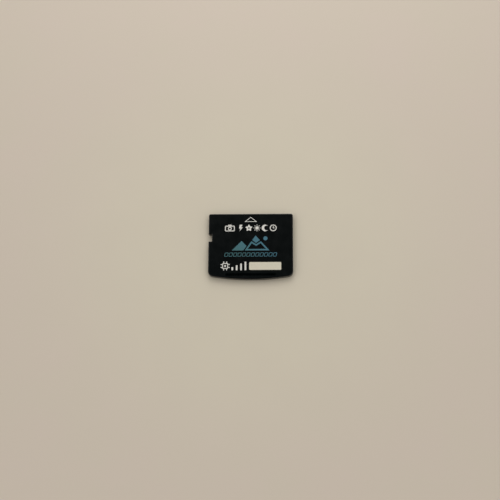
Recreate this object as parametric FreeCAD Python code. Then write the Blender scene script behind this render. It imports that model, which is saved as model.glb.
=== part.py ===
"""Removable memory card for a compact camera.

A thin black moulded case holds one sealed memory module, glued in from the back. The module is a laminate
board with a row of gold-plated contacts on its outer face and two stacked memory dies under resin on its
inner face. Sizes are in millimetres. X runs across the card, +Y points the way the card goes into a slot,
and +Z points out of the printed face. The origin is under the middle of the card, on the plane of its back.
"""

import FreeCAD
import Part
import math
import os

# Outside of the card
CARD_WIDTH = 25.0  # across the card, side to side
CARD_LENGTH = 20.0  # insertion edge to the crown of the grip edge
CARD_THICKNESS = 1.78  # back to printed face
GRIP_EDGE_RADIUS = 68.0  # bow of the grip edge, seen from above
GRIP_CORNER_RADIUS = 1.5  # where the sides meet the grip edge
LEAD_CORNER_RADIUS = 0.6  # where the sides meet the insertion edge
FACE_EDGE_RADIUS = 0.25  # rounding round the printed face and at the mouth of the notch
BACK_EDGE_RADIUS = 0.12  # rounding round the back
LEAD_IN_RUN = 0.4  # chamfer on the back of the insertion edge, measured along the card
LEAD_IN_RISE = 0.3  # the same chamfer, measured through the thickness

# Key notch in the left side
NOTCH_DEPTH = 1.0
NOTCH_LENGTH = 2.2
NOTCH_FROM_LEAD = 6.3  # insertion edge to the notch's nearer wall
NOTCH_ROOT_RADIUS = 0.2

# Fingernail groove in the printed face: a ramp that runs down to a steep wall beside the grip edge
GROOVE_LENGTH = 14.8
GROOVE_WIDTH = 0.72
GROOVE_DEPTH = 0.32
GROOVE_FROM_GRIP = 1.02  # crown of the grip edge to the steep wall
GROOVE_WALL_LEAN = 0.04  # how far the steep wall leans over its depth
GROOVE_ROOT_RADIUS = 0.04  # between the ramp and the steep wall
GROOVE_END_RADIUS = 0.3  # where the steep wall turns into the groove's ends, seen from above

# Walls of the case round the module's pocket
FACE_WALL = 0.45  # under the printed face
NOTCH_BACKING = 0.45  # between the notch and the pocket
LEAD_WALL = 0.8  # at the insertion edge
GRIP_WALL = 2.3  # at the crown of the grip edge

# Memory module
MODULE_CLEARANCE = 0.05  # round the module in its pocket
MODULE_CORNER_RADIUS = 0.45
BOARD_THICKNESS = 0.25
BOND_FILM_THICKNESS = 0.05
BOND_FILM_MARGIN = 0.6  # module's edge to the film's edge

# Contacts on the module's outer face
CONTACT_COUNT = 18
CONTACT_LENGTH = 3.2
CONTACT_GAP = 0.3  # between neighbours
CONTACT_THICKNESS = 0.04
CONTACT_RECESS = 0.04  # back of the card to the contact faces
CONTACT_SIDE_MARGIN = 1.25  # module's side to the end of the row
CONTACT_LEAD_MARGIN = 0.5  # module's leading edge to the contacts
CONTACT_CORNER_RADIUS = 0.12

# Memory dies inside the resin
DIE_WIDTH = 12.4
DIE_LENGTH = 11.0
DIE_THICKNESS = 0.15
DIE_STAGGER = 0.8  # the upper die is set back, which bares the lower die's bond pads

# Places that follow from the sizes above
SIDE = CARD_WIDTH / 2
LEAD_Y = CARD_LENGTH / 2
GRIP_Y = -CARD_LENGTH / 2
NOTCH_HIGH_Y = LEAD_Y - NOTCH_FROM_LEAD
NOTCH_LOW_Y = NOTCH_HIGH_Y - NOTCH_LENGTH
POCKET_CEILING = CARD_THICKNESS - FACE_WALL
POCKET_SIDE = SIDE - NOTCH_DEPTH - NOTCH_BACKING
POCKET_LEAD_Y = LEAD_Y - LEAD_WALL
POCKET_GRIP_Y = GRIP_Y + GRIP_WALL
MODULE_SIDE = POCKET_SIDE - MODULE_CLEARANCE
MODULE_LEAD_Y = POCKET_LEAD_Y - MODULE_CLEARANCE
MODULE_GRIP_Y = POCKET_GRIP_Y + MODULE_CLEARANCE
BOARD_BACK = CONTACT_RECESS + CONTACT_THICKNESS
BOARD_FRONT = BOARD_BACK + BOARD_THICKNESS
RESIN_FRONT = POCKET_CEILING - BOND_FILM_THICKNESS

OVERCUT = 1.0  # how far a cutting tool reaches past the face that it cuts
SAME = 1e-6  # lengths closer than this are equal


def at(x, y, z=0.0):
    """A point."""
    return FreeCAD.Vector(x, y, z)


def line(start, end):
    """A straight edge."""
    return Part.LineSegment(start, end).toShape()


def arc(start, centre, end):
    """The shorter arc from start to end round a centre."""
    outward = (start + end) * 0.5 - centre
    outward.normalize()
    return Part.Arc(start, centre + outward * start.distanceToPoint(centre), end).toShape()


def edges_at_height(solid, z):
    """The edges of a solid that lie flat at one height."""
    flat = [edge for edge in solid.Edges if edge.BoundBox.ZLength < SAME]
    return [edge for edge in flat if abs(edge.BoundBox.ZMin - z) < SAME]


def upright_edges(solid):
    """The straight edges of a solid that run through its thickness."""
    return [edge for edge in solid.Edges if edge.BoundBox.XLength < SAME and edge.BoundBox.YLength < SAME]


def notch_mouth_edges(solid):
    """The upright edges of a solid where the key notch opens in its left side."""
    on_side = [edge for edge in upright_edges(solid) if abs(edge.BoundBox.XMin + SIDE) < SAME]
    return [edge for edge in on_side if NOTCH_LOW_Y - SAME < edge.BoundBox.YMin < NOTCH_HIGH_Y + SAME]


def rounded_plate(x_low, x_high, y_low, y_high, z_low, z_high, radius):
    """A flat plate with its four upright corners rounded."""
    plate = Part.makeBox(x_high - x_low, y_high - y_low, z_high - z_low, at(x_low, y_low, z_low))
    return plate.makeFillet(radius, upright_edges(plate))


def across_card(corners, half_length):
    """A bar with the same section all along X; the corners of the section are (y, z) pairs."""
    section = [at(-half_length, y, z) for y, z in corners]
    face = Part.Face(Part.makePolygon(section + section[:1]))
    return face.extrude(at(2 * half_length, 0, 0))


def notch_edges():
    """The key notch, drawn up the left side: sharp mouth, straight walls and rounded root."""
    floor = -SIDE + NOTCH_DEPTH
    root_x = floor - NOTCH_ROOT_RADIUS
    root_low = NOTCH_LOW_Y + NOTCH_ROOT_RADIUS
    root_high = NOTCH_HIGH_Y - NOTCH_ROOT_RADIUS
    return [
        line(at(-SIDE, NOTCH_LOW_Y), at(root_x, NOTCH_LOW_Y)),
        arc(at(root_x, NOTCH_LOW_Y), at(root_x, root_low), at(floor, root_low)),
        line(at(floor, root_low), at(floor, root_high)),
        arc(at(floor, root_high), at(root_x, root_high), at(root_x, NOTCH_HIGH_Y)),
        line(at(root_x, NOTCH_HIGH_Y), at(-SIDE, NOTCH_HIGH_Y)),
    ]


def card_outline():
    """The card seen from above: straight insertion edge and sides, bowed grip edge, notched left side."""
    lead_x = SIDE - LEAD_CORNER_RADIUS
    lead_y = LEAD_Y - LEAD_CORNER_RADIUS
    # The grip corner touches the side and lies inside the bow, so its centre is at a known x and distance.
    bow_centre = at(0, GRIP_Y + GRIP_EDGE_RADIUS)
    grip_x = SIDE - GRIP_CORNER_RADIUS
    grip_y = bow_centre.y - math.sqrt((GRIP_EDGE_RADIUS - GRIP_CORNER_RADIUS) ** 2 - grip_x**2)
    to_corner = at(grip_x, grip_y) - bow_centre
    bow_right = bow_centre + to_corner * (GRIP_EDGE_RADIUS / to_corner.Length)
    bow_left = at(-bow_right.x, bow_right.y)
    notch = notch_edges()
    return Part.Wire([
        line(at(-lead_x, LEAD_Y), at(lead_x, LEAD_Y)),
        arc(at(lead_x, LEAD_Y), at(lead_x, lead_y), at(SIDE, lead_y)),
        line(at(SIDE, lead_y), at(SIDE, grip_y)),
        arc(at(SIDE, grip_y), at(grip_x, grip_y), bow_right),
        arc(bow_right, bow_centre, bow_left),
        arc(bow_left, at(-grip_x, grip_y), at(-SIDE, grip_y)),
        line(at(-SIDE, grip_y), notch[0].firstVertex().Point),
        *notch,
        line(notch[-1].lastVertex().Point, at(-SIDE, lead_y)),
        arc(at(-SIDE, lead_y), at(-lead_x, lead_y), at(-lead_x, LEAD_Y)),
    ])


def groove_tool():
    """What the fingernail groove removes: a ramp and its steep wall, with the wall's ends rounded."""
    wall_y = GRIP_Y + GROOVE_FROM_GRIP
    ramp_y = wall_y + GROOVE_WIDTH
    half = GROOVE_LENGTH / 2
    root_z = CARD_THICKNESS - GROOVE_DEPTH
    above = CARD_THICKNESS + OVERCUT
    wedge = across_card([(ramp_y, CARD_THICKNESS), (ramp_y, above), (wall_y, above), (wall_y, CARD_THICKNESS),
                         (wall_y + GROOVE_WALL_LEAN, root_z)], half)
    wedge = wedge.makeFillet(GROOVE_ROOT_RADIUS, edges_at_height(wedge, root_z))
    ends = rounded_plate(-half, half, wall_y, ramp_y + OVERCUT, root_z - OVERCUT, above, GROOVE_END_RADIUS)
    return wedge.common(ends)


def lead_in_tool():
    """What the chamfer removes along the back of the insertion edge."""
    start_y = LEAD_Y - LEAD_IN_RUN
    past_y = LEAD_Y + OVERCUT
    return across_card([(start_y, 0), (LEAD_Y, LEAD_IN_RISE), (past_y, LEAD_IN_RISE), (past_y, -OVERCUT),
                        (start_y, -OVERCUT)], SIDE + OVERCUT)


def case():
    """Black moulded case: printed face, walls and grip in one piece, open at the back for the module."""
    body = Part.Face(card_outline()).extrude(at(0, 0, CARD_THICKNESS))
    body = body.makeFillet(FACE_EDGE_RADIUS, edges_at_height(body, CARD_THICKNESS) + notch_mouth_edges(body))
    body = body.makeFillet(BACK_EDGE_RADIUS, edges_at_height(body, 0))
    pocket = rounded_plate(-POCKET_SIDE, POCKET_SIDE, POCKET_GRIP_Y, POCKET_LEAD_Y, -OVERCUT, POCKET_CEILING,
                           MODULE_CORNER_RADIUS + MODULE_CLEARANCE)
    return body.cut(pocket).cut(lead_in_tool()).cut(groove_tool())


def module_layer(z_low, z_high, margin=0.0):
    """One layer of the module, set in by a margin all round."""
    return rounded_plate(-MODULE_SIDE + margin, MODULE_SIDE - margin, MODULE_GRIP_Y + margin,
                         MODULE_LEAD_Y - margin, z_low, z_high, MODULE_CORNER_RADIUS)


def contact(place):
    """One gold-plated contact, by its place in the row, counted from the notched side."""
    row = 2 * (MODULE_SIDE - CONTACT_SIDE_MARGIN)
    pitch = (row + CONTACT_GAP) / CONTACT_COUNT
    x_low = -row / 2 + place * pitch
    y_high = MODULE_LEAD_Y - CONTACT_LEAD_MARGIN
    return rounded_plate(x_low, x_low + pitch - CONTACT_GAP, y_high - CONTACT_LENGTH, y_high, CONTACT_RECESS,
                         BOARD_BACK, CONTACT_CORNER_RADIUS)


def memory_die(level):
    """One thin silicon die of the stack on the board, set back from the die under it."""
    middle_y = (MODULE_LEAD_Y + MODULE_GRIP_Y) / 2
    y_low = middle_y - DIE_LENGTH / 2 - level * DIE_STAGGER
    z_low = BOARD_FRONT + level * DIE_THICKNESS
    return Part.makeBox(DIE_WIDTH, DIE_LENGTH, DIE_THICKNESS, at(-DIE_WIDTH / 2, y_low, z_low))


def card_pieces():
    """Every piece of the card, by its name."""
    dies = [memory_die(0), memory_die(1)]
    pieces = {
        "case": case(),
        "bond_film": module_layer(RESIN_FRONT, POCKET_CEILING, BOND_FILM_MARGIN),
        "resin_body": module_layer(BOARD_FRONT, RESIN_FRONT).cut(dies),
        "memory_die_upper": dies[1],
        "memory_die_lower": dies[0],
        "contact_board": module_layer(BOARD_BACK, BOARD_FRONT),
    }
    for place in range(CONTACT_COUNT):
        pieces[f"contact_{place + 1:02d}"] = contact(place)
    return pieces


os.makedirs("parts", exist_ok=True)
for name, shape in card_pieces().items():
    shape.exportStep(f"parts/{name}.step")
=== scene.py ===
import math

import bmesh
import bpy
import numpy as np
from mathutils import Matrix, Vector


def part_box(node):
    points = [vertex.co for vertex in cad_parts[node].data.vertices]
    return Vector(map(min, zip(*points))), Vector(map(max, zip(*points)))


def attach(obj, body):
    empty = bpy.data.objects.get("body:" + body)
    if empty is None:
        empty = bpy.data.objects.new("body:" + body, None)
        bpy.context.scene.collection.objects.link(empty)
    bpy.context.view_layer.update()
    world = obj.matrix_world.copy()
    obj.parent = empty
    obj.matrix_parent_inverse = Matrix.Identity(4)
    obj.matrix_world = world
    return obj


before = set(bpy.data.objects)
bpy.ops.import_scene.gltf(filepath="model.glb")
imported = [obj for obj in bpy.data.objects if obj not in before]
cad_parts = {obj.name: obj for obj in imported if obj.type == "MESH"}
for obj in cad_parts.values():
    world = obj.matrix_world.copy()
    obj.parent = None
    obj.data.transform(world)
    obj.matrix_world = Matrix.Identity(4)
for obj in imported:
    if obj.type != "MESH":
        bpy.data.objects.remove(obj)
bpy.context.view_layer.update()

# Contact board
# The board of the memory module: glass-fibre laminate under black lacquer, sawn from a larger panel.
# It closes the back of the card, and the rest of the module is built on it.

MM = 0.001
LACQUER_DARK = (0.0075, 0.0105, 0.0090)
LACQUER_PALE = (0.0120, 0.0165, 0.0140)
LACQUER_PATCH = 0.8 * MM
LACQUER_ROUGHNESS = (0.26, 0.40)
LACQUER_SHEEN_PATCH = 1.5 * MM
LACQUER_GRAIN = 0.12 * MM
LACQUER_GRAIN_DEPTH = 0.001 * MM
CLOTH_PITCH = 0.42 * MM
CLOTH_WANDER = 0.4
CLOTH_DEPTH = 0.003 * MM
WAVE_RADIANS = 20  # how far a wave texture of scale 1 turns over one metre
NOISE_MIDDLE = (0.3, 0.7)  # the range that noise mostly keeps to


def new_finish(name):
    """A material with one Principled shader; returns the material, its node tree and the shader."""
    finish = bpy.data.materials.new(name)
    finish.use_nodes = True
    shader = finish.node_tree.nodes["Principled BSDF"]
    return finish, finish.node_tree, shader


def add_node(tree, kind, inputs, **settings):
    """A shader node with its settings; an input, by name or number, is a value or a socket that feeds it."""
    node = tree.nodes.new(kind)
    for setting, value in settings.items():
        setattr(node, setting, value)
    for socket, value in inputs.items():
        if isinstance(value, bpy.types.NodeSocket):
            tree.links.new(value, node.inputs[socket])
        else:
            node.inputs[socket].default_value = value
    return node


def own_place(tree):
    """Where a point lies in the piece's own coordinates."""
    return add_node(tree, "ShaderNodeTexCoord", {}).outputs["Object"]


def grain(tree, size, stretch=(1, 1, 1), detail=3.0):
    """Noise on the piece's own coordinates: spots of one size, drawn out along each axis by the stretch."""
    scale = [1 / (size * draw) for draw in stretch]
    mapped = add_node(tree, "ShaderNodeMapping", {"Vector": own_place(tree), "Scale": scale})
    noise = add_node(tree, "ShaderNodeTexNoise",
                     {"Vector": mapped.outputs["Vector"], "Scale": 1.0, "Detail": detail})
    return noise.outputs["Fac"]


def spread(tree, factor, low, high):
    """Noise, which keeps near its middle, spread over the range from low to high."""
    inputs = {"Value": factor, "From Min": NOISE_MIDDLE[0], "From Max": NOISE_MIDDLE[1],
              "To Min": low, "To Max": high}
    return add_node(tree, "ShaderNodeMapRange", inputs).outputs["Result"]


def mix_colour(tree, factor, first, second):
    """The first colour where the factor is 0, the second where it is 1."""
    node = add_node(tree, "ShaderNodeMix", {}, data_type="RGBA")
    for name, value in (("Factor_Float", factor), ("A_Color", first), ("B_Color", second)):
        socket = next(s for s in node.inputs if s.identifier == name)
        if isinstance(value, bpy.types.NodeSocket):
            tree.links.new(value, socket)
        else:
            socket.default_value = (*value, 1.0)
    return next(s for s in node.outputs if s.identifier == "Result_Color")


def coat(tree, shader, colour, roughness):
    """Feeds a shader its colour and its roughness."""
    tree.links.new(colour, shader.inputs["Base Color"])
    tree.links.new(roughness, shader.inputs["Roughness"])


def relief(tree, shader, height, depth, under=None):
    """Bump of the given depth in metres, laid over another bump if there is one."""
    inputs = {"Height": height, "Distance": depth, "Strength": 1.0}
    if under is not None:
        inputs["Normal"] = under
    normal = add_node(tree, "ShaderNodeBump", inputs).outputs["Normal"]
    tree.links.new(normal, shader.inputs["Normal"])
    return normal


def weave(tree, pitch):
    """Threads of a cloth at right angles: the higher of two rows of waves, one along X and one along Y."""
    inputs = {"Vector": own_place(tree), "Scale": 2 * math.pi / (WAVE_RADIANS * pitch),
              "Distortion": CLOTH_WANDER}
    rows = [add_node(tree, "ShaderNodeTexWave", inputs, bands_direction=axis).outputs["Fac"]
            for axis in ("X", "Y")]
    return add_node(tree, "ShaderNodeMath", {0: rows[0], 1: rows[1]}, operation="MAXIMUM").outputs["Value"]


def lacquered_laminate():
    """Black lacquer with the glass cloth showing faintly through it."""
    finish, tree, shader = new_finish("lacquered_laminate")
    coat(tree, shader, mix_colour(tree, grain(tree, LACQUER_PATCH), LACQUER_DARK, LACQUER_PALE),
         spread(tree, grain(tree, LACQUER_SHEEN_PATCH), *LACQUER_ROUGHNESS))
    cloth = relief(tree, shader, weave(tree, CLOTH_PITCH), CLOTH_DEPTH)
    relief(tree, shader, grain(tree, LACQUER_GRAIN), LACQUER_GRAIN_DEPTH, cloth)
    return finish


def dress(node, finish):
    """Gives a node of the frame its finish."""
    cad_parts[node].material_slots[0].material = finish


dress("contact_board", lacquered_laminate())

# Contacts
# Eighteen copper pads on the board's outer face, plated with nickel and hard gold.
# Contact springs wipe them along the card, which leaves fine lines in the gold.

GOLD_BRIGHT = (0.88, 0.64, 0.26)
GOLD_DULL = (0.74, 0.50, 0.18)
GOLD_PATCH = 0.5 * MM
GOLD_ROUGHNESS = (0.20, 0.36)
WIPE_WIDTH = 0.035 * MM
WIPE_STRETCH = 40
WIPE_DEPTH = 0.0015 * MM


def hard_gold():
    """Satin gold with wiping lines along Y."""
    finish, tree, shader = new_finish("hard_gold")
    shader.inputs["Metallic"].default_value = 1.0
    lines = grain(tree, WIPE_WIDTH, (1, WIPE_STRETCH, 1))
    coat(tree, shader, mix_colour(tree, grain(tree, GOLD_PATCH), GOLD_BRIGHT, GOLD_DULL),
         spread(tree, lines, *GOLD_ROUGHNESS))
    relief(tree, shader, lines, WIPE_DEPTH)
    return finish


gold = hard_gold()
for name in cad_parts:
    if name.startswith("contact_") and name != "contact_board":
        dress(name, gold)

# Memory dies
# Two silicon chips, ground thin and stacked on the board's inner face.
# The grinding wheel leaves fine lines across the grey back of each chip.

SILICON_DARK = (0.16, 0.17, 0.20)
SILICON_PALE = (0.26, 0.27, 0.30)
SILICON_METAL = 0.6
SILICON_ROUGHNESS = (0.18, 0.32)
GRIND_WIDTH = 0.03 * MM
GRIND_STRETCH = 60
GRIND_DEPTH = 0.0008 * MM


def ground_silicon():
    """Grey, half-mirror silicon with grinding lines along X."""
    finish, tree, shader = new_finish("ground_silicon")
    shader.inputs["Metallic"].default_value = SILICON_METAL
    lines = grain(tree, GRIND_WIDTH, (GRIND_STRETCH, 1, 1))
    coat(tree, shader, mix_colour(tree, lines, SILICON_DARK, SILICON_PALE),
         spread(tree, lines, *SILICON_ROUGHNESS))
    relief(tree, shader, lines, GRIND_DEPTH)
    return finish


silicon = ground_silicon()
for name in ("memory_die_lower", "memory_die_upper"):
    dress(name, silicon)

# Resin body
# Black epoxy filled with silica, moulded over the dies and the board in one shot.
# Its matt skin shows the filler as fine pale specks.

RESIN_BLACK = (0.014, 0.014, 0.015)
RESIN_SPECK = (0.045, 0.045, 0.046)
RESIN_PATCH = 0.6 * MM
RESIN_ROUGHNESS = (0.55, 0.75)
SPECK_SIZE = 0.05 * MM
SPECK_DETAIL = 1.0
SPECK_COVER = (-1.0, 1.0)
SPECK_DEPTH = 0.004 * MM


def filled_resin():
    """Matt black resin with specks of filler."""
    finish, tree, shader = new_finish("filled_resin")
    specks = grain(tree, SPECK_SIZE, detail=SPECK_DETAIL)
    coat(tree, shader, mix_colour(tree, spread(tree, specks, *SPECK_COVER), RESIN_BLACK, RESIN_SPECK),
         spread(tree, grain(tree, RESIN_PATCH), *RESIN_ROUGHNESS))
    relief(tree, shader, specks, SPECK_DEPTH)
    return finish


dress("resin_body", filled_resin())

# Bond film
# A thin sheet of adhesive that holds the module in the case.
# It is clear amber, with the marks of its rolling.

AMBER_PALE = (0.62, 0.52, 0.32)
AMBER_DEEP = (0.50, 0.39, 0.20)
AMBER_ROUGHNESS = (0.16, 0.30)
FLOW_WIDTH = 0.8 * MM
FLOW_STRETCH = 5
FLOW_DEPTH = 0.004 * MM


def amber_film():
    """Smooth amber film with faint flow marks along Y."""
    finish, tree, shader = new_finish("amber_film")
    flow = grain(tree, FLOW_WIDTH, (1, FLOW_STRETCH, 1))
    coat(tree, shader, mix_colour(tree, flow, AMBER_PALE, AMBER_DEEP), spread(tree, flow, *AMBER_ROUGHNESS))
    relief(tree, shader, flow, FLOW_DEPTH)
    return finish


dress("bond_film", amber_film())

# Case
# One moulding in black plastic: printed face, sides, grip edge, fingernail groove and key notch.
# The spark-eroded mould gives it a fine even grain, and handling makes its satin sheen a little uneven.

PLASTIC_BLACK = (0.0001, 0.0008, 0.0008)
PLASTIC_WORN = (0.0006, 0.0017, 0.0017)
PLASTIC_ROUGHNESS = (0.12, 0.18)
PLASTIC_GLOSS = 0.3
HANDLED_PATCH = 2.2 * MM
HANDLED_DETAIL = 4.0
SPARK_GRAIN = 0.10 * MM
SPARK_DETAIL = 2.0
SPARK_DEPTH = 0.007 * MM


def spark_relief(tree, shader):
    """The grain of the spark-eroded mould, which the print on the face follows too."""
    relief(tree, shader, grain(tree, SPARK_GRAIN, detail=SPARK_DETAIL), SPARK_DEPTH)


def satin_plastic():
    """Black satin plastic: spark-eroded grain, with colour and sheen that vary where hands have held it."""
    finish, tree, shader = new_finish("satin_plastic")
    shader.inputs["Specular IOR Level"].default_value = PLASTIC_GLOSS
    handled = grain(tree, HANDLED_PATCH, detail=HANDLED_DETAIL)
    coat(tree, shader, mix_colour(tree, handled, PLASTIC_BLACK, PLASTIC_WORN),
         spread(tree, handled, *PLASTIC_ROUGHNESS))
    spark_relief(tree, shader)
    return finish


dress("case", satin_plastic())

# Write-on panel
# A field of pale matt ink, screen-printed on the face and left blank for the owner's notes.
# All print on the card is such a film, laid on the flat face with a soft edge.

FACE_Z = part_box("case")[1].z
INK_THICKNESS = 0.012 * MM
INK_SINK = 0.004 * MM
INK_LIP = INK_THICKNESS / 2
INK_SHOULDER = 0.010 * MM
INK_GLOSS = 0.3
ARC_STEPS = 10
SAME_POINT = 1e-8

PANEL_CENTRE = np.array([4.29, -6.085]) * MM
PANEL_SIZE = np.array([9.40, 2.37]) * MM
PANEL_CORNER = 0.28 * MM
PANEL_PALE = (0.584, 0.552, 0.445)
PANEL_DULL = (0.530, 0.496, 0.398)
PANEL_PATCH = 0.6 * MM
PANEL_ROUGHNESS = (0.62, 0.75)


def around(angles):
    """Points on the unit circle: the cosine and the sine of each angle."""
    return np.column_stack([np.cos(angles), np.sin(angles)])


def rounded_rectangle(centre, size, corner, slant=0.0):
    """Outline of a rectangle whose corners are quarter circles; slant leans it over, x growing with y."""
    turns = np.linspace(0, np.pi / 2, ARC_STEPS)
    angles = (np.arange(4)[:, None] * np.pi / 2 + turns).ravel()
    signs = np.repeat([[1, 1], [-1, 1], [-1, -1], [1, -1]], ARC_STEPS, axis=0)
    outline = signs * (np.asarray(size) / 2 - corner) + corner * around(angles)
    outline[:, 0] += slant * outline[:, 1]
    return np.asarray(centre) + outline


def sheet_faces(rings, steps):
    """Four-sided faces between neighbouring rings, each ring closed on itself."""
    ring = np.arange(rings - 1)[:, None] * steps
    here = np.arange(steps)[None, :]
    after = (here + 1) % steps
    corners = [ring + here, ring + after, ring + steps + after, ring + steps + here]
    return np.stack(corners, axis=-1).reshape(-1, 4)


def ink_sheet(grid, heights):
    """A film on a grid of points: each row is a closed ring, and the heights are above the face."""
    lift = np.broadcast_to(FACE_Z + heights, grid.shape[:2])
    points = np.concatenate([grid, lift[:, :, None]], axis=2)
    return points.reshape(-1, 3), sheet_faces(*grid.shape[:2])


def ink_rings(loops, heights):
    """Rings of points: each flat loop lifted to its own height above the face."""
    return ink_sheet(np.stack(loops), np.array(heights)[:, None])


def ink_field(outline, middle=None):
    """A patch of ink: the outline drawn in to its middle, under and over the film, with a soft edge."""
    middle = outline.mean(axis=0) if middle is None else np.asarray(middle)
    arm = outline - middle
    reach = np.linalg.norm(arm, axis=1, keepdims=True)
    shoulder = middle + arm * (1 - INK_SHOULDER / reach)
    point = np.broadcast_to(middle, outline.shape)
    return ink_rings([point, outline, outline, shoulder, point],
                     [-INK_SINK, -INK_SINK, INK_LIP, INK_THICKNESS, INK_THICKNESS])


def ink_tile(centre, size, corner):
    """A filled rectangle of ink with rounded corners."""
    return ink_field(rounded_rectangle(centre, size, corner))


def print_piece(name, patches, finish):
    """One print of one ink: its patches joined into a mesh, with poles and seams closed."""
    starts = np.cumsum([0] + [len(points) for points, _ in patches[:-1]])
    points = np.concatenate([points for points, _ in patches])
    faces = np.concatenate([faces + start for (_, faces), start in zip(patches, starts)])
    mesh = bpy.data.meshes.new(name)
    mesh.from_pydata(points.tolist(), [], faces.tolist())
    shape = bmesh.new()
    shape.from_mesh(mesh)
    bmesh.ops.remove_doubles(shape, verts=shape.verts, dist=SAME_POINT)
    bmesh.ops.recalc_face_normals(shape, faces=shape.faces)
    shape.to_mesh(mesh)
    shape.free()
    piece = bpy.data.objects.new(name, mesh)
    bpy.context.scene.collection.objects.link(piece)
    mesh.materials.append(finish)
    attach(piece, "root")


def matt_ink(name, full, thin, patch, roughness):
    """Screen-printed ink: its cover varies from patch to patch, and its sheen over twice that size."""
    finish, tree, shader = new_finish(name)
    shader.inputs["Specular IOR Level"].default_value = INK_GLOSS
    coat(tree, shader, mix_colour(tree, grain(tree, patch), full, thin),
         spread(tree, grain(tree, 2 * patch), *roughness))
    spark_relief(tree, shader)
    return finish


panel_ink = matt_ink("panel_ink", PANEL_PALE, PANEL_DULL, PANEL_PATCH, PANEL_ROUGHNESS)
print_piece("write_on_panel", [ink_tile(PANEL_CENTRE, PANEL_SIZE, PANEL_CORNER)], panel_ink)

# Insertion mark
# An open triangle in white ink that points at the edge which goes into the slot first.
# It is one stroke of even width with sharp corners.

WHITE_FULL = (0.64, 0.63, 0.59)
WHITE_THIN = (0.58, 0.57, 0.53)
WHITE_PATCH = 0.25 * MM
WHITE_ROUGHNESS = (0.50, 0.64)
STROKE_SECTION = [-INK_SINK, INK_LIP, INK_THICKNESS, INK_THICKNESS, INK_LIP, -INK_SINK]
MARK_CORNERS = np.array([[0.0, 9.02], [-1.85, 7.48], [1.85, 7.48]]) * MM
MARK_STROKE = 0.155 * MM


def ink_ring(outer, inner):
    """A band of ink between two outlines with the same number of points, with a soft edge on both sides."""
    across = inner - outer
    step = across * INK_SHOULDER / np.linalg.norm(across, axis=1, keepdims=True)
    loops = [outer, outer, outer + step, inner - step, inner, inner, outer]
    return ink_rings(loops, [*STROKE_SECTION, -INK_SINK])


def inset(outline, distance):
    """The outline moved inwards by a distance, with sharp corners: each corner moves along the line that
    halves its angle, by the distance over the cosine of half the turn. The outline runs anticlockwise."""
    along = np.roll(outline, -1, axis=0) - outline
    along /= np.linalg.norm(along, axis=1, keepdims=True)
    inward = np.column_stack([-along[:, 1], along[:, 0]])
    middle = inward + np.roll(inward, 1, axis=0)
    return outline + distance * 2 * middle / (middle**2).sum(axis=1, keepdims=True)


def ink_stroke(outline, width):
    """A closed stroke just inside an outline."""
    return ink_ring(outline, inset(outline, width))


white_ink = matt_ink("white_ink", WHITE_FULL, WHITE_THIN, WHITE_PATCH, WHITE_ROUGHNESS)
print_piece("insertion_mark", [ink_stroke(MARK_CORNERS, MARK_STROKE)], white_ink)

# Mode symbols
# A row of plain white symbols of the kind found on a camera's mode dial: camera, flash, close-up, sun,
# night and self-timer. They are printed in the same white ink as the mark.

SYMBOL_Y = 5.56 * MM
SYMBOL_RADIUS = 1.02 * MM
SYMBOL_STROKE = 0.26 * MM
SYMBOL_X = np.linspace(-2.95, 6.66, 5) * MM
ROUND_STEPS = 48
CAMERA_X = -6.2 * MM
CAMERA_BODY = np.array([2.9, 1.75]) * MM
CAMERA_DROP = 0.14 * MM
CAMERA_CORNER = 0.35 * MM
CAMERA_HUMP = np.array([1.1, 0.26]) * MM
CAMERA_HUMP_CORNER = CAMERA_HUMP[1] / 3
CAMERA_HUMP_GAP = 0.05 * MM
CAMERA_LENS = 0.56 * MM
BOLT = np.array([[-0.30, 1.0], [-0.56, -0.14], [-0.13, -0.14], [-0.36, -1.0], [0.56, 0.24], [0.13, 0.24],
                 [0.46, 1.0]])
FLOWER_RADIUS = 0.80
FLOWER_PETALS = 5
FLOWER_RIPPLE = 0.26
FLOWER_EYE = 0.24
SUN_DISC = 0.50
SUN_RAYS = 8
SUN_RAY = (0.78, 0.92)
SUN_RAY_WIDTH = 0.22 * MM
MOON_HORN = math.radians(40)
MOON_BITE = 0.72
MOON_STEPS = 40
HORN_SHOULDER = 0.4
HAND_WIDTH = 0.22 * MM
HAND_LENGTHS = np.array([0.36, 0.50]) * MM


def circle(centre, radius, steps=ROUND_STEPS, ripple=0.0, petals=0):
    """Outline at a radius from the centre, which a ripple varies as 1 + ripple cos(petals angle)."""
    angles = np.arange(steps) * 2 * np.pi / steps
    reach = radius * (1 + ripple * np.cos(petals * (angles - np.pi / 2)))
    return np.asarray(centre) + around(angles) * reach[:, None]


def round_bar(start, end, width):
    """Outline of a straight bar: half a circle round its end, then half a circle round its start."""
    lean = math.atan2(end[1] - start[1], end[0] - start[0])
    turns = np.linspace(-np.pi / 2, np.pi / 2, ARC_STEPS)
    angles = np.concatenate([turns, turns + np.pi]) + lean
    return np.repeat([end, start], ARC_STEPS, axis=0) + around(angles) * width / 2


def ink_frame(centre, size, corner, stroke, slant=0.0):
    """A stroke of ink just inside a rounded rectangle."""
    inner = rounded_rectangle(centre, size - 2 * stroke, corner - stroke, slant)
    return ink_ring(rounded_rectangle(centre, size, corner, slant), inner)


def ink_hoop(centre, radius):
    """A stroke of ink just inside a circle."""
    return ink_ring(circle(centre, radius), circle(centre, radius - SYMBOL_STROKE))


def ink_band(outer, inner):
    """An open band of ink between two lines that meet at both ends, with a soft edge on both sides that
    takes no more than a set share of the width."""
    across = inner - outer
    width = np.linalg.norm(across, axis=1, keepdims=True)
    step = across * np.minimum(INK_SHOULDER / np.maximum(width, INK_SHOULDER), HORN_SHOULDER)
    lines = [outer, outer, outer + step, inner - step, inner, inner]
    return ink_sheet(np.stack(lines, axis=1), np.array(STROKE_SECTION))


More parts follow.
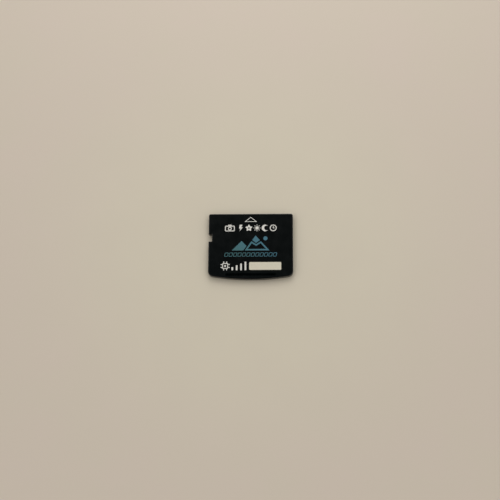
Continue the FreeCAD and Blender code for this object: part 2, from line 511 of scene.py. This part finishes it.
def camera_symbol(x):
    """A camera from the front: outlined body, lens ring and the hump of the viewfinder on top."""
    middle = np.array([x, SYMBOL_Y - CAMERA_DROP])
    hump_y = middle[1] + CAMERA_BODY[1] / 2 + CAMERA_HUMP_GAP + CAMERA_HUMP[1] / 2
    return [ink_frame(middle, CAMERA_BODY, CAMERA_CORNER, SYMBOL_STROKE), ink_hoop(middle, CAMERA_LENS),
            ink_tile((x, hump_y), CAMERA_HUMP, CAMERA_HUMP_CORNER)]


def flash_symbol(x):
    """A bolt: a blunt upper half and a pointed lower half, one beside the other."""
    centre = np.array([x, SYMBOL_Y])
    return [ink_field(centre + BOLT * SYMBOL_RADIUS, centre)]


def close_up_symbol(x):
    """A flower with its petals round an open eye."""
    centre = (x, SYMBOL_Y)
    petals = circle(centre, FLOWER_RADIUS * SYMBOL_RADIUS, ripple=FLOWER_RIPPLE, petals=FLOWER_PETALS)
    return [ink_ring(petals, circle(centre, FLOWER_EYE * SYMBOL_RADIUS))]


def sun_symbol(x):
    """A disc with short rays round it."""
    centre = np.array([x, SYMBOL_Y])
    disc = ink_field(circle(centre, SUN_DISC * SYMBOL_RADIUS))
    rays = [ink_field(round_bar(centre + SUN_RAY[0] * ray, centre + SUN_RAY[1] * ray, SUN_RAY_WIDTH))
            for ray in circle((0, 0), SYMBOL_RADIUS, steps=SUN_RAYS)]
    return [disc] + rays


def night_symbol(x):
    """A crescent between the far arc of a disc and the arc of a smaller disc that meets its horns."""
    offset = math.cos(MOON_HORN) - math.sqrt(MOON_BITE**2 - math.sin(MOON_HORN) ** 2)
    bite_horn = math.atan2(math.sin(MOON_HORN), math.cos(MOON_HORN) - offset)
    outer = around(np.linspace(MOON_HORN, 2 * np.pi - MOON_HORN, MOON_STEPS))
    inner = (offset, 0) + MOON_BITE * around(np.linspace(bite_horn, 2 * np.pi - bite_horn, MOON_STEPS))
    centre = np.array([x, SYMBOL_Y])
    return [ink_band(centre + outer * SYMBOL_RADIUS, centre + inner * SYMBOL_RADIUS)]


def timer_symbol(x):
    """A clock: a ring, and two hands that make one right angle."""
    centre = np.array([x, SYMBOL_Y])
    half = HAND_WIDTH / 2
    reach, rise = HAND_LENGTHS
    hands = np.array([[-half, rise], [-half, -half], [reach, -half],
                      [reach, half], [half, half], [half, rise]])
    return [ink_hoop(centre, SYMBOL_RADIUS), ink_field(centre + hands, centre)]


symbols = camera_symbol(CAMERA_X)
for draw, x in zip((flash_symbol, close_up_symbol, sun_symbol, night_symbol, timer_symbol), SYMBOL_X):
    symbols += draw(x)
print_piece("mode_symbols", symbols, white_ink)

# Picture emblem
# Two peaks and a sun, the common sign for a picture, in teal ink with a pearl sheen.
# The ink shades from green at the lower left to blue at the upper right.

TEAL_GREEN = (0.044, 0.120, 0.124)
TEAL_BLUE = (0.049, 0.143, 0.195)
TEAL_COURSE = (1, 1, 0)
TEAL_SHADE = (-5.0 * MM, 6.0 * MM)
PEARL_GLOSS = 0.2
PEARL_PATCH = 0.4 * MM
PEARL_ROUGHNESS = (0.40, 0.55)
FLAKE_SIZE = 0.07 * MM
FLAKE_DETAIL = 1.0
FLAKE_COVER = (0.0, 0.35)
PEAK_FOOT = np.array([[-1.75, -1.35], [5.55, -1.35]]) * MM
PEAK_TOP = np.array([1.42, 3.25]) * MM
PEAK_SHARE = 0.615
CAP_SHARE = 0.690
SNOW_DIP = 0.90 * MM
PEAK_STROKE = 0.46 * MM
FOOTHILL = np.array([[-5.60, -1.35], [-2.17, -1.35], [-1.22, 0.03], [-2.70, 1.55]]) * MM
EMBLEM_SUN = np.array([4.35, 2.35]) * MM
EMBLEM_SUN_RADIUS = 0.62 * MM


def snow_line(share):
    """Right end, dip and left end of a line across the peak, at a share of the way up its flanks."""
    left, right = PEAK_FOOT + share * (PEAK_TOP - PEAK_FOOT)
    return np.array([right, (left + right) / 2 - (0, SNOW_DIP), left])


def reach_along(tree, vector, course):
    """How far a vector reaches along a course."""
    node = add_node(tree, "ShaderNodeVectorMath", {0: vector, 1: course}, operation="DOT_PRODUCT")
    return node.outputs["Value"]


def pearl_ink():
    """Teal ink with a pearl sheen: the colour follows x + y, and fine flakes carry more of the blue."""
    finish, tree, shader = new_finish("teal_ink")
    shader.inputs["Specular IOR Level"].default_value = PEARL_GLOSS
    along = reach_along(tree, own_place(tree), TEAL_COURSE)
    shade = add_node(tree, "ShaderNodeMapRange", {"Value": along, "From Min": TEAL_SHADE[0],
                                                  "From Max": TEAL_SHADE[1]}).outputs["Result"]
    flakes = spread(tree, grain(tree, FLAKE_SIZE, detail=FLAKE_DETAIL), *FLAKE_COVER)
    base = mix_colour(tree, shade, TEAL_GREEN, TEAL_BLUE)
    coat(tree, shader, mix_colour(tree, flakes, base, TEAL_BLUE),
         spread(tree, grain(tree, PEARL_PATCH), *PEARL_ROUGHNESS))
    spark_relief(tree, shader)
    return finish


teal_ink = pearl_ink()
peak = ink_stroke(np.concatenate([PEAK_FOOT, snow_line(PEAK_SHARE)]), PEAK_STROKE)
cap = ink_field(np.concatenate([snow_line(CAP_SHARE)[::-1], [PEAK_TOP]]))
sun = ink_field(circle(EMBLEM_SUN, EMBLEM_SUN_RADIUS))
print_piece("picture_emblem", [peak, cap, ink_field(FOOTHILL), sun], teal_ink)

# Picture strip
# A row of small leaning picture frames under the emblem.
# They are drawn in fine strokes of the same teal ink.

FRAME_COUNT = 12
FRAME_X = np.linspace(-7.15, 7.15, FRAME_COUNT) * MM
FRAME_Y = -2.60 * MM
FRAME_SIZE = np.array([1.06, 1.20]) * MM
FRAME_CORNER = 0.20 * MM
FRAME_STROKE = 0.16 * MM
FRAME_SLANT = 0.25

frames = [ink_frame((x, FRAME_Y), FRAME_SIZE, FRAME_CORNER, FRAME_STROKE, FRAME_SLANT) for x in FRAME_X]
print_piece("picture_strip", frames, teal_ink)

# Capacity sign
# A chip seen from above and four rising bars, which stand for what the card can hold.
# They are printed beside the panel in the same white ink as the mark.

CHIP_CENTRE = np.array([-7.45, -6.06]) * MM
CHIP_SIZE = np.array([1.72, 1.72]) * MM
CHIP_CORNER = 0.26 * MM
CHIP_STROKE = 0.24 * MM
CHIP_CORE = np.array([0.50, 0.50]) * MM
CHIP_CORE_CORNER = CHIP_CORE[0] / 6
CHIP_PIN = np.array([0.28, 0.40]) * MM
CHIP_PIN_CORNER = CHIP_PIN[0] / 4
CHIP_PIN_GAP = 0.06 * MM
CHIP_PIN_PITCH = 0.86 * MM
BAR_COUNT = 4
BAR_FOOT = -7.36 * MM
BAR_X = np.linspace(-5.35, -1.50, BAR_COUNT) * MM
BAR_WIDTH = 0.50 * MM
BAR_HEIGHTS = np.linspace(0.95, 2.58, BAR_COUNT) * MM
BAR_CORNER = 0.12 * MM

sign = [ink_frame(CHIP_CENTRE, CHIP_SIZE, CHIP_CORNER, CHIP_STROKE),
        ink_tile(CHIP_CENTRE, CHIP_CORE, CHIP_CORE_CORNER)]
for place in (-CHIP_PIN_PITCH / 2, CHIP_PIN_PITCH / 2):
    for side in (-1, 1):
        outside = side * (CHIP_SIZE[0] / 2 + CHIP_PIN_GAP + CHIP_PIN[1] / 2)
        sign.append(ink_tile(CHIP_CENTRE + (place, outside), CHIP_PIN, CHIP_PIN_CORNER))
        sign.append(ink_tile(CHIP_CENTRE + (outside, place), CHIP_PIN[::-1], CHIP_PIN_CORNER))
for x, height in zip(BAR_X, BAR_HEIGHTS):
    sign.append(ink_tile((x, BAR_FOOT + height / 2), (BAR_WIDTH, height), BAR_CORNER))
print_piece("capacity_sign", sign, white_ink)

# Table
# The smooth pale sheet that the card lies on; it runs on past every view.
# Its warm coating is a little cloudy. A painted vignette shades it: lighter and greener near the card,
# darker and rosier away from it.

TABLE_HALF = 6.0
# Painted shade: the sheet's colour near the card and far from it, a vignette painted in rather than a change
# in the coating.
TABLE_LIT_NEAR = (0.579, 0.535, 0.430)
TABLE_SHADED_FAR = (0.570, 0.492, 0.428)
VIGNETTE_FADE = (25 * MM, 75 * MM)
TABLE_DULL = (0.555, 0.502, 0.414)
TABLE_CLOUD = 18 * MM
TABLE_GLOSS = 0.0
TABLE_ROUGHNESS = (0.80, 0.90)
TABLE_SHEEN_PATCH = 5 * MM
TOOTH_GRAIN = 0.2 * MM
TOOTH_DEPTH = 0.003 * MM


def rise_between(tree, value, low, high):
    """Rises smoothly from 0 at the low value to 1 at the high one."""
    node = add_node(tree, "ShaderNodeMapRange", {"Value": value, "From Min": low, "From Max": high},
                    interpolation_type="SMOOTHSTEP")
    return node.outputs["Result"]


def length_of(tree, vector):
    """The length of a vector."""
    return add_node(tree, "ShaderNodeVectorMath", {0: vector}, operation="LENGTH").outputs["Value"]


def pale_sheet():
    """Pale warm sheet, a little cloudy, with a faint tooth and a painted vignette: darker and rosier away
    from the card.
    """
    finish, tree, shader = new_finish("pale_sheet")
    shader.inputs["Specular IOR Level"].default_value = TABLE_GLOSS
    # Painted vignette: the sheet is painted darker and rosier as it gets further from the card.
    vignette_shade = rise_between(tree, length_of(tree, own_place(tree)), *VIGNETTE_FADE)
    pale = mix_colour(tree, vignette_shade, TABLE_LIT_NEAR, TABLE_SHADED_FAR)
    coat(tree, shader, mix_colour(tree, grain(tree, TABLE_CLOUD), pale, TABLE_DULL),
         spread(tree, grain(tree, TABLE_SHEEN_PATCH), *TABLE_ROUGHNESS))
    relief(tree, shader, grain(tree, TOOTH_GRAIN), TOOTH_DEPTH)
    return finish


sheet = bpy.data.meshes.new("table")
sheet.from_pydata([(-TABLE_HALF, -TABLE_HALF, 0), (TABLE_HALF, -TABLE_HALF, 0), (TABLE_HALF, TABLE_HALF, 0),
                   (-TABLE_HALF, TABLE_HALF, 0)], [], [(0, 1, 2, 3)])
table = bpy.data.objects.new("table", sheet)
bpy.context.scene.collection.objects.link(table)
sheet.materials.append(pale_sheet())

# Light
# A pale room under a soft bright dome, brighter beyond the insertion edge. The dome opens overhead to a
# dim ceiling and to the dark viewer. One small lamp on the bright side makes the light fall off across
# the table.

ROOM_PALE = (0.481, 0.429, 0.342)
DOME_NEAR = (1.10, 1.09, 1.09)
DOME_FAR = (1.58, 1.57, 1.56)
DOME_DEPTH = 0.8
DOME_TURN = math.radians(24)
DOME_FOOT = (math.sin(math.radians(18)), math.sin(math.radians(42)))
CEILING_DIM = (0.105, 0.105, 0.105)
VIEWER_DARK = (0.0, 0.0, 0.0)
VIEWER_SPLIT = (-0.35, 0.05)
OPENING_HALF = (math.sin(math.radians(17)), math.sin(math.radians(46)))
OPENING_MIDDLE = (-0.035, -0.24)
OPENING_EDGE = (1.25, 0.80)
LAMP_AWAY = 0.25
LAMP_TURN = math.radians(-3)
LAMP_RISE = math.radians(37)
LAMP_SIZE = 0.16
LAMP_POWER = 0.14


def room_light():
    """The world: a colour for each direction, by its height, its side and its place in the oval opening."""
    room = bpy.data.worlds.new("room")
    room.use_nodes = True
    tree = room.node_tree
    outward = add_node(tree, "ShaderNodeTexCoord", {}).outputs["Generated"]
    height = add_node(tree, "ShaderNodeSeparateXYZ", {"Vector": outward}).outputs["Z"]
    side = reach_along(tree, outward, (-math.sin(DOME_TURN), math.cos(DOME_TURN), 0))
    half_x, half_y = OPENING_HALF
    middle_x, middle_y = OPENING_MIDDLE
    oval = add_node(tree, "ShaderNodeMapping", {"Vector": outward, "Scale": (1 / half_x, 1 / half_y, 0),
                                                "Location": (-middle_x / half_x, -middle_y / half_y, 0)})
    overhead = rise_between(tree, length_of(tree, oval.outputs["Vector"]), *OPENING_EDGE)
    brighter = rise_between(tree, side, -DOME_DEPTH, DOME_DEPTH)
    dome = mix_colour(tree, brighter, DOME_NEAR, DOME_FAR)
    above = mix_colour(tree, rise_between(tree, height, *DOME_FOOT), ROOM_PALE, dome)
    opening = mix_colour(tree, rise_between(tree, side, *VIEWER_SPLIT), VIEWER_DARK, CEILING_DIM)
    tree.links.new(mix_colour(tree, overhead, above, opening), tree.nodes["Background"].inputs["Color"])
    return room


def direction(turn, rise):
    """The direction that is turned from +Y towards -X, and raised from the table, by these angles."""
    return Vector((-math.sin(turn) * math.cos(rise), math.cos(turn) * math.cos(rise), math.sin(rise)))


def small_lamp():
    """A round lamp that faces the card."""
    toward = direction(LAMP_TURN, LAMP_RISE)
    data = bpy.data.lights.new("small_lamp", "AREA")
    data.shape = "DISK"
    data.size = LAMP_SIZE
    data.energy = LAMP_POWER
    lamp = bpy.data.objects.new("small_lamp", data)
    facing = toward.to_track_quat("Z", "Y").to_matrix().to_4x4()
    lamp.matrix_world = Matrix.Translation(toward * LAMP_AWAY) @ facing
    bpy.context.scene.collection.objects.link(lamp)


bpy.context.scene.world = room_light()
small_lamp()

# Camera
# Almost overhead, leaning back towards the grip edge and a little to the right, as the card was seen.
# Its place, turn and lens come from a fit to the card's outline in the picture.

VIEW_AWAY = 268.7 * MM
VIEW_TURN = math.radians(180 + 7.33)
VIEW_RISE = math.radians(90 - 16.05)
VIEW_ROLL = math.radians(-7.29)
IMAGE_SIDE = 500
FOCAL_PIXELS = 905.6
CARD_PIXEL = (250.88, 247.68)
SENSOR_WIDTH = 36.0
NEAREST = 1 * MM

away = direction(VIEW_TURN, VIEW_RISE)
level = Vector((-math.cos(VIEW_TURN), -math.sin(VIEW_TURN), 0))
right = math.cos(VIEW_ROLL) * level + math.sin(VIEW_ROLL) * away.cross(level)
up = away.cross(right)
pixel = VIEW_AWAY / FOCAL_PIXELS
aim = right * (IMAGE_SIDE / 2 - CARD_PIXEL[0]) * pixel - up * (IMAGE_SIDE / 2 - CARD_PIXEL[1]) * pixel
eye = away * VIEW_AWAY
back = (eye - aim).normalized()
right = (right - right.dot(back) * back).normalized()
up = back.cross(right)
camera_data = bpy.data.cameras.new("camera")
camera_data.sensor_width = SENSOR_WIDTH
camera_data.lens = SENSOR_WIDTH * FOCAL_PIXELS / IMAGE_SIDE
camera_data.clip_start = NEAREST
camera = bpy.data.objects.new("camera", camera_data)
camera.matrix_world = Matrix.Translation(eye) @ Matrix((right, up, back)).transposed().to_4x4()
bpy.context.scene.collection.objects.link(camera)
bpy.context.scene.camera = camera
bpy.context.scene.view_settings.view_transform = "Standard"
